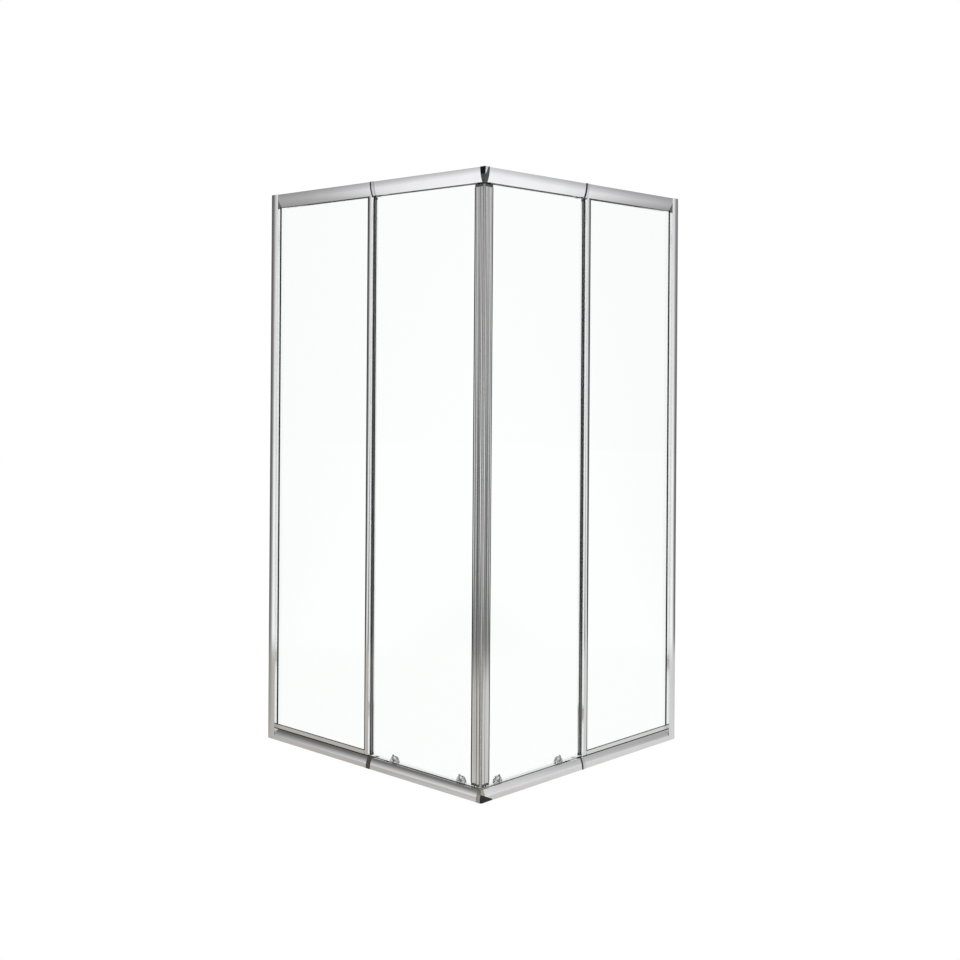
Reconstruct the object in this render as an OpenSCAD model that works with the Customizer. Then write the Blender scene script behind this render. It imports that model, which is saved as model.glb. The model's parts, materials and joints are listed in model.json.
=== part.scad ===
// Square corner-entry shower enclosure with two sliding glass doors that meet
// at the outer corner. Millimetres, +Z up. The origin lies on the floor, midway
// along both sides. The left side runs along X and the right side along Y.
// Each piece is drawn on the left side, in side coordinates: u runs from the wall
// to the outer corner, v runs inwards from the outermost face, and z runs up.
// The right side is the mirror image across the diagonal through the corner.

/* [Enclosure] */
// Length of each side, from its wall to the outer corner
side_w = 985; // [850:5:1200]
// Overall height
height = 1850; // [1700:10:2100]

/* [Rails] */
// Height of the top rail's face
top_rail_h = 43; // [41:1:60]
// Height of the bottom rail's face
bottom_rail_h = 35; // [33:1:42]
// How far the curved face of a rail draws in over its height
rail_lean = 9; // [6:0.5:12]
// Wall thickness of every aluminium extrusion
sheet_t = 1.5; // [1.2:0.1:1.8]
// How far caps and joint bands stand proud of the rails
proud = 1; // [0.5:0.1:2]
// Width of the joint band between the two halves of a rail
joint_w = 17; // [2:0.5:20]

/* [Wall channel] */
// Reach of the wall channel's outer flange from the wall
channel_w = 33; // [30:0.5:38]
// Reach of its inner flange, which the glass shows
inner_w = 29; // [24:0.5:30]
// Distance between neighbouring wall screw holes
hole_pitch = 515; // [400:5:540]
// Radius of a wall screw hole
hole_r = 2.75; // [2:0.25:3.5]

/* [Fixed panel] */
// Thickness of the glass
glass_t = 5; // [4:1:6]
// Depth of the frame round the fixed glass
frame_depth = 9; // [9:0.5:12]
// Width of the upright at the free edge
upright_w = 17.5; // [15:0.5:25]
// How far the upright stands back from the middle of the side
upright_set = 3; // [0:0.5:6]
// Height of the sill bar that shows above the bottom rail
sill_show = 14; // [12:1:20]
// Depth of the pockets that hold the glass
pocket = 6.5; // [5:0.5:6.5]

/* [Doors] */
// Depth of the upright profiles on a door
door_depth = 12; // [11:0.5:14]
// Width of the leading profile, on its outer face
lead_w = 38; // [34:1:48]
// Width of the trailing profile
trail_w = 22; // [18:0.5:36]
// How far the trailing profile reaches past the middle of the side
trail_show = 2; // [1:0.5:18]
// Depth of the finger flange on the inside of the leading profile
grip_depth = 9; // [6:1:12]
// Height of an end cap on a door profile
end_cap_h = 8; // [6:1:20]
// Thickness of the magnetic seal on the leading edge
seal_t = 3.2; // [2:0.1:5]
// How far a door slides open
door_travel = 420; // [200:10:430]

/* [Rollers] */
// Radius of a top wheel over its flanges
top_wheel_r = 12.5; // [10:0.5:14]
// Radius of a bottom wheel over its flanges
bottom_wheel_r = 9.5; // [8:0.5:10]
// Width of every wheel
wheel_w = 6; // [5:0.5:7]
// Depth of the groove in a wheel
groove_depth = 2; // [1.5:0.1:2.5]
// Radius of a top wheel's axle
axle_r = 3; // [2:0.25:3.5]
// Radius of a bottom wheel's axle
pin_r = 2; // [1.5:0.25:2.5]
// Distance from the outer corner to the leading rollers
roller_inset = 110; // [95:5:160]
// Distance between the two rollers of a door
roller_pitch = 285; // [200:5:300]
// How far a release button travels
press_travel = 4; // [3:0.5:4.5]
// Radius of a release button
button_r = 3.2; // [2.8:0.1:3.4]

/* [Corner connectors] */
// Length of each face of a corner connector
corner_w = 20; // [16:1:24]
// Rounding of the bottom connector's outer edge
corner_r = 8; // [3:1:12]
// Length of the legs that slide into the rails
leg_len = 40; // [25:5:60]

/* [Hidden] */
$fn = 48;
arc_fn = 240;                                  // for the wide arcs of the faces
touch = 0.2;                                   // between pieces that butt together
run = 0.2;                                     // between a wheel and its track
play = 0.3;                                    // between bodies that pass each other
slip = 0.5;                                    // between pieces that slide into each other
bore_gap = 0.05;                               // radial, on a shaft in its hole
half = side_w / 2;

// Depths across a side, from the outermost face inwards
face_v = proud;
frame_v = face_v + rail_lean + sheet_t + slip; // front of the fixed panel's frame
pane_inset = 2.5;                              // front of a frame to its glass
pane_v = frame_v + pane_inset;
frame_back = frame_v + frame_depth;
channel_d = frame_back + touch + sheet_t;      // depth of the wall channel
web_v = frame_back + slip;                     // web between groove and track
door_gap = 1;                                  // web to a door's profiles
door_v = web_v + sheet_t + door_gap;
door_back = door_v + door_depth;
door_pane_v = door_v + pane_inset;
door_pane_back = door_pane_v + glass_t;
lip_gap = 1.5;                                 // a door's profiles to the track's lip
lip_v = door_back + lip_gap;                   // free edge of the lip
wheel_v = lip_v + door_gap;
bead_v = wheel_v + wheel_w / 2;
axle_end_v = wheel_v + wheel_w + play;
axle_head_t = 2;
track_room = 1.7;                              // axle heads to the track's back wall
rail_back = axle_end_v + axle_head_t + track_room + sheet_t;
glue = 0.2;                                    // between glass and a door profile
seal_gap = 0.4;                                // gasket on each face of the glass

// Heights
rail_top = height - proud;
top_rail_z = rail_top - top_rail_h;
bead_r = 1;
top_bead_h = 9;                                // running edge above the top rail's foot
lip_z = 28;                                    // underside of the bottom track's lip
bottom_bead_h = 4;                              // running edge under the bottom lip
bottom_bead_z = lip_z - bottom_bead_h;
sill_top = bottom_rail_h + sill_show;
door_pane_z0 = lip_z;
pane_head = 13;                                // door glass to the rail's top
door_pane_z1 = rail_top - pane_head;
door_z0 = bottom_rail_h + 1;
door_z1 = top_rail_z - 2;
groove_r_top = top_wheel_r - groove_depth;
groove_r_bottom = bottom_wheel_r - groove_depth;
top_axle_z = top_rail_z + top_bead_h + run + groove_r_top;
bottom_axle_z = bottom_bead_z - run - groove_r_bottom;

// Places along a side
stile_u = channel_w + touch;                   // end of the stile, where the rails start
joint_u = half;
upright_u = joint_u - upright_set - upright_w;
rail_2_u = joint_u + joint_w;                  // start of a rail's door half
trail_u = joint_u + trail_show - trail_w;
lead_u = side_w - door_v - lead_w;
setback = (seal_t + touch) * sqrt(2);          // leading profile to the diagonal
lead_pocket = 10;
trail_pocket = 9.5;
door_pane_u0 = trail_u + trail_w - trail_pocket;
door_pane_u1 = lead_u + lead_pocket - 0.5;
rollers = [side_w - roller_inset - roller_pitch, side_w - roller_inset];
pane_u0 = stile_u - pocket + seal_gap;
pane_u1 = upright_u + pocket - seal_gap;
pane_z0 = sill_top - pocket + seal_gap;
pane_z1 = door_pane_z1 - 1;

// Carriers, buttons and screws
plate_w = 52;
plate_h = 26;
plate_v = door_pane_back + play;
plate_t = 3.2;
plate_z = door_pane_z1 - plate_h;
bolt_r = 2.5;
bolt_off = 17;
bolt_head_r = 4.5;
bolt_z = plate_z + plate_h / 2;
housing_r = 16.5;
housing_z = lip_z + sheet_t + 2;
housing_mid_z = housing_z + 3;
housing_t = 9.2;
housing_bolt_u = 6.5;
housing_bolt_z = housing_mid_z + 6.5;
button_off = -7;
button_v = lip_v - 1.7;
button_top = housing_mid_z + housing_r - 1 + press_travel;
button_len = 10;
button_foot = button_top - button_len;
stem_r = 1.2;
spring_coiled = 3.9;                           // its length with the button pressed home
spring_z0 = button_foot - press_travel - spring_coiled;
spring_z1 = button_foot - bore_gap;
spring_mid_r = 2.1;
spring_wire_r = 0.3;
spring_turns = 5;
bar_t = 2.4;
bar_w = 9;
screw_r = 1.6;
screw_head_r = 3.4;
screw_head_t = 0.9;
screw_u = side_w - corner_w - leg_len / 2;
joint_screw_u = rail_2_u + leg_len / 2;
low_screw_z = bottom_rail_h / 2 + 2;
port_r = 3;
port_v = frame_v - slip - port_r;              // screw port between face and groove
port_z = sheet_t + port_r - 0.4;
high_screw_z = rail_top - top_rail_h / 2;
channel_screw_u = inner_w / 2;
channel_screw_z = [for (i = [-1 : 1]) height / 2 + i * height / 3];
wall_hole_z = [for (i = [-1.5 : 1.5]) height / 2 + i * hole_pitch];

// Side coordinates to the part's own frame
module on_left() translate([-half, -half, 0]) children();
module on_right() mirror([1, 1, 0]) on_left() children();

// A section in the v-z plane carried along a side from u0 to u1
module along_u(u0, u1) translate([u0, 0, 0]) rotate([90, 0, 90]) linear_extrude(u1 - u0) children();

// A section in the u-v plane carried upwards from z0 to z1
module upwards(z0, z1) translate([0, 0, z0]) linear_extrude(z1 - z0) children();

// A cylinder along v, from v0 to v1
module across(r, u, v0, v1, z) translate([u, v0, z]) rotate([-90, 0, 0]) cylinder(h = v1 - v0, r = r);

// A cylinder along u at the depth of the screw ports, from u0 to u1
module along(r, u0, u1, z) translate([u0, port_v, z]) rotate([0, 90, 0]) cylinder(h = u1 - u0, r = r);

// Radius of the arc that draws in by rail_lean over the height h
function arc_r(h) = (rail_lean * rail_lean + h * h) / (2 * rail_lean);

// Everything behind the arc of a rail's face, out to depth v1, grown by out
module behind_face(h, out, v1, z0, z1) {
    intersection() {
        translate([face_v + arc_r(h), 0]) circle(arc_r(h) + out, $fn = arc_fn);
        translate([0, z0]) square([v1, z1 - z0]);
    }
}

// The curved face itself: upright at its foot, drawn in at h
module face(h) {
    difference() {
        behind_face(h, 0, face_v + rail_lean + 2 * sheet_t, 0, h);
        translate([face_v + arc_r(h), 0]) circle(arc_r(h) - sheet_t, $fn = arc_fn);
    }
}

// Face, plate, web and screw port that both rails share, with the plate at z = 0
module rail_shell(h, back_h) {
    face(h);
    translate([face_v, 0]) square([rail_back - face_v, sheet_t]);
    translate([web_v, 0]) square([sheet_t, h]);
    translate([rail_back - sheet_t, 0]) square([sheet_t, back_h]);
    difference() {
        translate([port_v, port_z]) circle(port_r);
        translate([port_v, port_z]) circle(screw_r + bore_gap);
    }
}

// Bottom rail: a lip turned over the track, with a bead under it for the wheels
module bottom_rail_section() {
    rail_shell(bottom_rail_h, lip_z + sheet_t);
    translate([lip_v, lip_z]) square([rail_back - lip_v, sheet_t]);
    translate([bead_v - bead_r, bottom_bead_z + bead_r])
        square([2 * bead_r, lip_z - bottom_bead_z - bead_r]);
    translate([bead_v, bottom_bead_z + bead_r]) circle(bead_r);
}

// Top rail, drawn upside down: a lip with a bead on it that carries the wheels
module top_rail_section() {
    translate([0, rail_top]) mirror([0, 1]) {
        rail_shell(top_rail_h, top_rail_h);
        translate([lip_v, top_rail_h - sheet_t]) square([rail_back - lip_v, sheet_t]);
        translate([bead_v - bead_r, top_rail_h - top_bead_h + bead_r])
            square([2 * bead_r, top_bead_h - bead_r - sheet_t]);
        translate([bead_v, top_rail_h - top_bead_h + bead_r]) circle(bead_r);
    }
}

// Plan of a rail's outer end: square to the corner block, then mitred inside
module corner_plan() {
    end_u = side_w - corner_w - touch;
    deep = rail_back + 2;
    polygon([
        [0, -deep], [end_u, -deep], [end_u, corner_w],
        [side_w - touch - deep, deep], [0, deep]
    ]);
}

module screw_hole(u, z) across(screw_r + bore_gap, u, frame_v - 1, web_v + 2 * sheet_t, z);

module top_rail_wall() color("silver") along_u(stile_u, joint_u) top_rail_section();

module top_rail_door() {
    color("silver") difference() {
        intersection() {
            along_u(rail_2_u, side_w) top_rail_section();
            upwards(top_rail_z - 1, height) corner_plan();
        }
        screw_hole(joint_screw_u, high_screw_z);
        screw_hole(screw_u, high_screw_z);
    }
}

module bottom_rail_wall() color("silver") along_u(stile_u, joint_u) bottom_rail_section();

module bottom_rail_door() {
    color("silver") difference() {
        intersection() {
            along_u(rail_2_u, side_w) bottom_rail_section();
            upwards(-1, bottom_rail_h + 1) corner_plan();
        }
        screw_hole(joint_screw_u, low_screw_z);
        screw_hole(screw_u, low_screw_z);
    }
}

// A block that slides into the groove between a rail's face and its web
module groove_leg(u0, u1, z0, z1, screw_at, screw_z) {
    difference() {
        along_u(u0, u1) translate([frame_v, z0]) square([frame_depth, z1 - z0]);
        screw_hole(screw_at, screw_z);
    }
}

module top_leg(u0, u1, screw_at) {
    groove_leg(u0, u1, top_rail_z + 2, rail_top - sheet_t - touch, screw_at, high_screw_z);
}

module bottom_leg(u0, u1, screw_at) {
    groove_leg(u0, u1, sheet_t + touch, bottom_rail_h - 2, screw_at, low_screw_z);
}

// Plan of a corner block with its outer edge rounded
module block_plan(r) {
    translate([side_w - corner_w, r]) square([corner_w, corner_w - r]);
    translate([side_w - corner_w, 0]) square([corner_w - r, corner_w]);
    translate([side_w - r, r]) circle(r);
}

edge_r = 0.8;                                  // rounding of the top connector's outer edge

module top_corner() {
    color("dimgray") {
        intersection() {
            on_left() top_block();
            on_right() top_block();
            on_left() upwards(top_rail_z, height) block_plan(edge_r);
        }
        on_left() top_leg(side_w - corner_w - leg_len, side_w - corner_w, screw_u);
        on_right() top_leg(side_w - corner_w - leg_len, side_w - corner_w, screw_u);
    }
}

module top_block() {
    along_u(side_w - corner_w, side_w) translate([0, rail_top]) mirror([0, 1])
        behind_face(top_rail_h, proud, corner_w, -proud, top_rail_h);
}

module bottom_corner() {
    color("silver") {
        intersection() {
            on_left() bottom_block();
            on_right() bottom_block();
            on_left() upwards(0, bottom_rail_h + proud) block_plan(corner_r);
        }
        on_left() bottom_leg(side_w - corner_w - leg_len, side_w - corner_w, screw_u);
        on_right() bottom_leg(side_w - corner_w - leg_len, side_w - corner_w, screw_u);
    }
}

module bottom_block() {
    along_u(side_w - corner_w, side_w)
        behind_face(bottom_rail_h, proud, corner_w, 0, bottom_rail_h + proud);
}

// Bands between the rail halves, with tongues that slide into both of them
tongue_l = 30;
tongue_w = 8;
tongue_t = 3;
tongue_v = door_v + 5;

module top_joiner() {
    along_u(joint_u, rail_2_u) {
        top_rail_section();
        translate([0, rail_top]) mirror([0, 1]) {
            behind_face(top_rail_h, proud, web_v + sheet_t, -proud, top_rail_h);
            translate([corner_w, -proud]) square([rail_back - corner_w, proud + sheet_t]);
        }
    }
    top_leg(rail_2_u, rail_2_u + leg_len, joint_screw_u);
    along_u(joint_u - tongue_l, rail_2_u + tongue_l)
        translate([tongue_v, rail_top - sheet_t - touch - tongue_t]) square([tongue_w, tongue_t]);
}

module bottom_joiner() {
    along_u(joint_u, rail_2_u) {
        bottom_rail_section();
        behind_face(bottom_rail_h, proud, web_v + sheet_t, 0, bottom_rail_h);
    }
    bottom_leg(rail_2_u, rail_2_u + leg_len, joint_screw_u);
    along_u(joint_u - tongue_l, rail_2_u + tongue_l)
        translate([tongue_v, sheet_t + touch]) square([tongue_w, tongue_t]);
}

module rail_joiners() {
    color("gray") {
        on_left() top_joiner();
        on_left() bottom_joiner();
        on_right() top_joiner();
        on_right() bottom_joiner();
    }
}

// Wall channel: a U open away from the wall, its outer flange gently bowed
bow_r = 80;
flange_back = bow_r - sqrt(pow(bow_r - sheet_t, 2) - pow(channel_w / 2, 2));

module bowed_box(r, u0, u1, v1) {
    intersection() {
        translate([channel_w / 2, bow_r]) circle(r, $fn = arc_fn);
        translate([u0, 0]) square([u1 - u0, v1]);
    }
}

module wall_channel() {
    color("silver") difference() {
        upwards(0, height) difference() {
            bowed_box(bow_r, 0, channel_w, channel_d);
            bowed_box(bow_r - sheet_t, sheet_t, channel_w + 1, channel_d - sheet_t);
            translate([inner_w, frame_back]) square([channel_w, 3 * sheet_t]);
        }
        for (z = wall_hole_z)
            translate([-1, channel_d / 2, z]) rotate([0, 90, 0]) cylinder(h = 2 * sheet_t, r = hole_r);
        for (z = channel_screw_z)
            across(screw_r + bore_gap, channel_screw_u, channel_d - 2 * sheet_t, channel_d + 1, z);
    }
}

// Stile: a box inside the wall channel, with a pocket for the glass at its end
box_u = sheet_t + 3.5;                         // leaves room for the wall screws' heads
box_v = flange_back + touch;

module stile_section() {
    wall_u = stile_u - pocket - sheet_t;
    wall_v = pane_v - seal_gap - sheet_t;
    difference() {
        translate([box_u, box_v]) square([stile_u - box_u, frame_back - box_v]);
        polygon([
            [box_u + sheet_t, box_v + sheet_t], [stile_u - sheet_t, box_v + sheet_t],
            [stile_u - sheet_t, wall_v], [wall_u, wall_v],
            [wall_u, frame_back - sheet_t], [box_u + sheet_t, frame_back - sheet_t]
        ]);
        translate([stile_u - pocket, pane_v - seal_gap]) square([pocket + 1, glass_t + 2 * seal_gap]);
    }
}

module fixed_stile() {
    color("silver") difference() {
        upwards(0, rail_top) stile_section();
        for (z = channel_screw_z)
            across(screw_r + bore_gap, channel_screw_u, frame_back - 2 * sheet_t, frame_back + 1, z);
        for (z = [port_z, rail_top - port_z]) {
            along(screw_r + bore_gap, stile_u - 2 * sheet_t, stile_u + 1, z);
            along(screw_head_r + slip, 0, box_u + 2 * sheet_t, z);
        }
    }
}

// Sill bar: stands in the bottom rail's groove, between the stile and the upright
module fixed_sill() {
    color("silver") along_u(stile_u + touch, upright_u) difference() {
        translate([frame_v, sheet_t]) square([frame_depth, sill_top - sheet_t]);
        translate([pane_v - seal_gap, sill_top - pocket]) square([glass_t + 2 * seal_gap, pocket + 1]);
        translate([frame_v + sheet_t, 3 * sheet_t])
            square([frame_depth - 2 * sheet_t, sill_top - pocket - 5 * sheet_t]);
    }
}

// Upright at the free edge of the fixed glass, its face cut in three facets
facet_d = 1.6;
facet_w = 5.5;

module fixed_upright() {
    right = upright_u + upright_w;
    color("silver") upwards(sheet_t, rail_top - sheet_t) difference() {
        polygon([
            [upright_u, frame_v + facet_d], [upright_u + facet_w, frame_v],
            [right - facet_w, frame_v], [right, frame_v + facet_d / 2],
            [right, frame_back], [upright_u, frame_back]
        ]);
        translate([upright_u - 1, pane_v - seal_gap]) square([pocket + 1, glass_t + 2 * seal_gap]);
        translate([upright_u + pocket + sheet_t, frame_v + sheet_t])
            square([upright_w - pocket - 3 * sheet_t, frame_depth - 2 * sheet_t]);
    }
}

module fixed_glass() {
    color([0.80, 0.93, 0.90, 0.35])
        translate([pane_u0, pane_v, pane_z0]) cube([pane_u1 - pane_u0, glass_t, pane_z1 - pane_z0]);
}

// Gasket round the fixed glass, with a wide wedge in the top rail's groove
gasket_lip = 1.5;

module gasket() {
    color("gray") difference() {
        union() {
            translate([pane_u0 - seal_gap, pane_v - seal_gap, pane_z0 - seal_gap])
                cube([
                    pane_u1 - pane_u0 + 2 * seal_gap, glass_t + 2 * seal_gap,
                    pane_z1 - pane_z0 + 2 * seal_gap
                ]);
            translate([stile_u + touch, frame_v, top_rail_z + 4])
                cube([upright_u - stile_u - 2 * touch, frame_depth, pane_z1 + 3 - top_rail_z - 4]);
        }
        translate([pane_u0, pane_v, pane_z0]) cube([pane_u1 - pane_u0, glass_t, pane_z1 - pane_z0]);
        translate([stile_u + gasket_lip, frame_v - 1, sill_top + gasket_lip])
            cube([
                upright_u - stile_u - 2 * gasket_lip, frame_depth + 2,
                top_rail_z - sill_top - 2 * gasket_lip
            ]);
    }
}

// Brush strip behind the fixed upright, against the door's trailing profile
brush_w = 4;

module upright_seal() {
    upwards(sill_top, top_rail_z - 2)
        translate([upright_u + upright_w / 2, frame_back])
            square([brush_w, door_v - frame_back - play]);
}

module upright_seals() {
    color("gray") {
        on_left() upright_seal();
        on_right() upright_seal();
    }
}

// Rubber blocks in the top track that end the travel both ways
stop_l = 14;

module door_stop(u0) {
    translate([u0, bead_v + bead_r + 0.5, top_rail_z + sheet_t])
        cube([stop_l, rail_back - sheet_t - bead_v - bead_r - 0.5, top_bead_h + 14]);
}

module side_stops() {
    door_stop(rollers[0] - door_travel - top_wheel_r - play - stop_l);
    door_stop(rollers[1] + top_wheel_r + play);
}

module door_stops() {
    color("dimgray") {
        on_left() side_stops();
        on_right() side_stops();
    }
}

// Screws that hold the rails on their joiners and corners, and the stile in its channel
module web_screw(u, z) {
    across(screw_r, u, frame_v + 1, web_v + sheet_t, z);
    across(screw_head_r, u, web_v + sheet_t, web_v + sheet_t + screw_head_t, z);
}

module port_screw(z) {
    along(screw_r, stile_u - sheet_t, stile_u + port_screw_l, z);
    along(screw_head_r, stile_u - sheet_t - screw_head_t, stile_u - sheet_t, z);
}

port_screw_l = 16;
cap_r = 5.5;
cap_t = 3.2;

module channel_screw(z) {
    across(screw_r, channel_screw_u, channel_d - 3.5 * sheet_t, channel_d, z);
    across(screw_head_r, channel_screw_u, channel_d, channel_d + 1.8, z);
    difference() {
        across(cap_r, channel_screw_u, channel_d, channel_d + cap_t, z);
        across(screw_head_r + touch, channel_screw_u, channel_d - 1, channel_d + 2, z);
    }
}

module side_screws() {
    for (u = [joint_screw_u, screw_u]) {
        web_screw(u, low_screw_z);
        web_screw(u, high_screw_z);
    }
    for (z = channel_screw_z) channel_screw(z);
    for (z = [port_z, rail_top - port_z]) port_screw(z);
}

module frame_screws() {
    color("lightgray") {
        on_left() side_screws();
        on_right() side_screws();
    }
}

// Door glass, drilled for the roller bolts
module door_glass() {
    color([0.80, 0.93, 0.90, 0.35]) difference() {
        translate([door_pane_u0, door_pane_v, door_pane_z0])
            cube([door_pane_u1 - door_pane_u0, glass_t, door_pane_z1 - door_pane_z0]);
        for (u = rollers) {
            for (s = [-1, 1])
                across(bolt_r + 0.8, u + s * bolt_off, door_pane_v - 1, door_pane_back + 1, bolt_z);
            across(bolt_r + 0.8, u + housing_bolt_u, door_pane_v - 1, door_pane_back + 1, housing_bolt_z);
        }
    }
}

// Leading profile: fluted outside, with a round nose and a flange for the fingers inside
flute_r = 5;
flute_depth = 1.8;
nose_r = 4;

module lead_outline() {
    difference() {
        union() {
            polygon([
                [lead_u, door_v], [side_w - door_v - setback, door_v],
                [side_w - door_back - setback, door_back], [lead_u, door_back]
            ]);
            intersection() {
                translate([side_w - door_v - setback - 2 * nose_r, door_v + 2]) circle(nose_r);
                polygon([
                    [lead_u, 0], [side_w - setback, 0],
                    [side_w - door_back - setback, door_back], [lead_u, door_back]
                ]);
            }
        }
        for (i = [0, 1])
            translate([lead_u + 9.5 + i * 9, door_v - flute_r + flute_depth]) circle(flute_r);
        translate([lead_u - 1, door_pane_v - glue]) square([lead_pocket + 1, glass_t + 2 * glue]);
    }
}

module lead_profile() {
    color("silver") upwards(door_z0 + end_cap_h, door_z1 - end_cap_h) {
        difference() {
            lead_outline();
            translate([lead_u + lead_pocket + sheet_t, door_v + flute_depth + sheet_t])
                square([
                    side_w - door_back - setback - lead_u - lead_pocket - 2 * sheet_t,
                    door_depth - flute_depth - 2 * sheet_t
                ]);
        }
        translate([lead_u + 3, door_back]) square([2, grip_depth]);
        translate([lead_u + 4, door_back + grip_depth]) circle(1.6);
    }
}

module trail_outline() {
    difference() {
        translate([trail_u, door_v]) square([trail_w, door_depth]);
        translate([trail_u + trail_w - trail_pocket - 0.5, door_pane_v - glue])
            square([trail_pocket + 1, glass_t + 2 * glue]);
    }
}

module trail_profile() {
    color("silver") upwards(door_z0 + end_cap_h, door_z1 - end_cap_h) difference() {
        trail_outline();
        translate([trail_u + sheet_t, door_v + sheet_t])
            square([trail_w - trail_pocket - 2 * sheet_t - 0.5, door_depth - 2 * sheet_t]);
    }
}

module end_caps() {
    color("dimgray") for (z = [door_z0, door_z1 - end_cap_h]) upwards(z, z + end_cap_h) {
        lead_outline();
        trail_outline();
    }
}

// Magnetic seal along the diagonal, where the two doors meet
module magnet_seal() {
    near = touch * sqrt(2);
    v0 = door_v + 1;
    v1 = door_back - 1;
    color("lightgray") upwards(door_z0, door_z1)
        polygon([
            [side_w - v0 - setback, v0], [side_w - v0 - near, v0],
            [side_w - v1 - near, v1], [side_w - v1 - setback, v1]
        ]);
}

// Seal clipped on the bottom edge of the glass, with a fin that wipes the rail
module drip_seal() {
    color("lightgray") along_u(trail_u + trail_w + touch, lead_u - touch) {
        difference() {
            translate([door_pane_v - 0.5, door_pane_z0 - 2]) square([glass_t + 1, 5.2]);
            translate([door_pane_v, door_pane_z0]) square([glass_t, 10]);
        }
        translate([door_pane_v + glass_t / 2 - 1, door_pane_z0 - 8]) square([2, 6.5]);
    }
}

// Top carriers: a plate bolted to the glass, with a boss for the wheel's axle
module plate_shape(w, h, r) {
    square([w - 2 * r, h], center = true);
    square([w, h - 2 * r], center = true);
    for (x = [-1, 1], y = [-1, 1]) translate([x * (w / 2 - r), y * (h / 2 - r)]) circle(r);
}

module top_carrier(u) {
    difference() {
        union() {
            translate([u, plate_v + plate_t, bolt_z]) rotate([90, 0, 0])
                linear_extrude(plate_t) plate_shape(plate_w, plate_h, 6);
            across(axle_r + 3, u, plate_v, wheel_v - play, top_axle_z);
        }
        across(axle_r + bore_gap, u, plate_v - 1, wheel_v, top_axle_z);
        for (s = [-1, 1]) across(bolt_r + bore_gap, u + s * bolt_off, plate_v - 1, wheel_v, bolt_z);
    }
}

module top_carriers() color("dimgray") for (u = rollers) top_carrier(u);

// Bolts through the glass, and the shoulder screws that the top wheels turn on
module glass_bolt(u, z, end_v) {
    across(bolt_r, u, door_pane_v, end_v, z);
    across(bolt_head_r, u, door_v + 0.1, door_pane_v, z);
}

module roller_bolts() {
    color("lightgray") for (u = rollers) {
        for (s = [-1, 1]) glass_bolt(u + s * bolt_off, bolt_z, plate_v + plate_t);
        glass_bolt(u + housing_bolt_u, housing_bolt_z, plate_v + housing_t - 1);
        across(axle_r, u, plate_v + 0.1, axle_end_v, top_axle_z);
        across(axle_r + 2, u, axle_end_v, axle_end_v + axle_head_t, top_axle_z);
    }
}

// A grooved wheel that lies on its side from z = 0 to w
module grooved_wheel(r, w, bore) {
    foot = r - groove_depth;
    mouth = bead_r + 0.9;
    seat = bead_r + 0.3;
    rotate_extrude($fn = 72) polygon([
        [bore, 0], [bore + 2.2, 0], [bore + 2.6, 0.7], [r - 3.2, 0.7], [r - 2.8, 0],
        [r - 0.5, 0], [r, 0.5], [r, w / 2 - mouth], [foot, w / 2 - seat],
        [foot, w / 2 + seat], [r, w / 2 + mouth], [r, w - 0.5], [r - 0.5, w],
        [r - 2.8, w], [r - 3.2, w - 0.7], [bore + 2.6, w - 0.7], [bore + 2.2, w], [bore, w]
    ]);
}

module top_wheel(i) {
    color("white") translate([rollers[i], wheel_v, top_axle_z]) rotate([-90, 0, 0])
        grooved_wheel(top_wheel_r, wheel_w, axle_r + bore_gap);
}

module bottom_wheel(i) {
    color("white") translate([rollers[i] + button_off, wheel_v, bottom_axle_z]) rotate([-90, 0, 0])
        grooved_wheel(bottom_wheel_r, wheel_w, pin_r + bore_gap);
}

// Bottom housings: a half-round block on the glass that guides the button
module bottom_housing(u) {
    difference() {
        intersection() {
            across(housing_r, u, plate_v, plate_v + housing_t, housing_mid_z);
            translate([u - housing_r, 0, housing_z]) cube([2 * housing_r, rail_back, 3 * housing_r]);
        }
        translate([u + button_off, button_v, spring_z0 - 0.05])
            cylinder(h = 3 * housing_r, r = button_r + bore_gap);
        translate([u + button_off, button_v, housing_z - 1])
            cylinder(h = 3 * housing_r, r = stem_r + bore_gap);
        across(bolt_r + bore_gap, u + housing_bolt_u, plate_v - 1, plate_v + housing_t - 1, housing_bolt_z);
    }
}

module bottom_housings() color("gray") for (u = rollers) bottom_housing(u);

// Release button: cap, stem, bar and the pin that the bottom wheel turns on
module button(i) {
    u = rollers[i] + button_off;
    bar_top = housing_z - 0.7;
    bar_z = bottom_axle_z - pin_r - 2.8;
    color("gray") {
        translate([u, button_v, button_foot]) cylinder(h = button_len - 1, r = button_r);
        translate([u, button_v, button_top - 1]) cylinder(h = 1, r1 = button_r, r2 = button_r - 0.8);
        translate([u, button_v, bar_top - 1]) cylinder(h = button_foot - bar_top + 1.5, r = stem_r);
        translate([u - bar_w / 2, button_v - bar_t / 2, bar_z]) cube([bar_w, bar_t, bar_top - bar_z]);
        across(pin_r, u, button_v, axle_end_v + 0.5, bottom_axle_z);
        across(pin_r + 0.8, u, axle_end_v, axle_end_v + 0.9, bottom_axle_z);
    }
}

// Compression spring round the button's stem: one unbroken helical tube
spring_sides = 6;
spring_steps = 8;

function spring_ring(a, z) = [
    for (k = [0 : spring_sides - 1])
        let (b = 360 * k / spring_sides, r = spring_mid_r + spring_wire_r * cos(b))
        [r * cos(a), r * sin(a), z + spring_wire_r * sin(b)]
];

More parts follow.
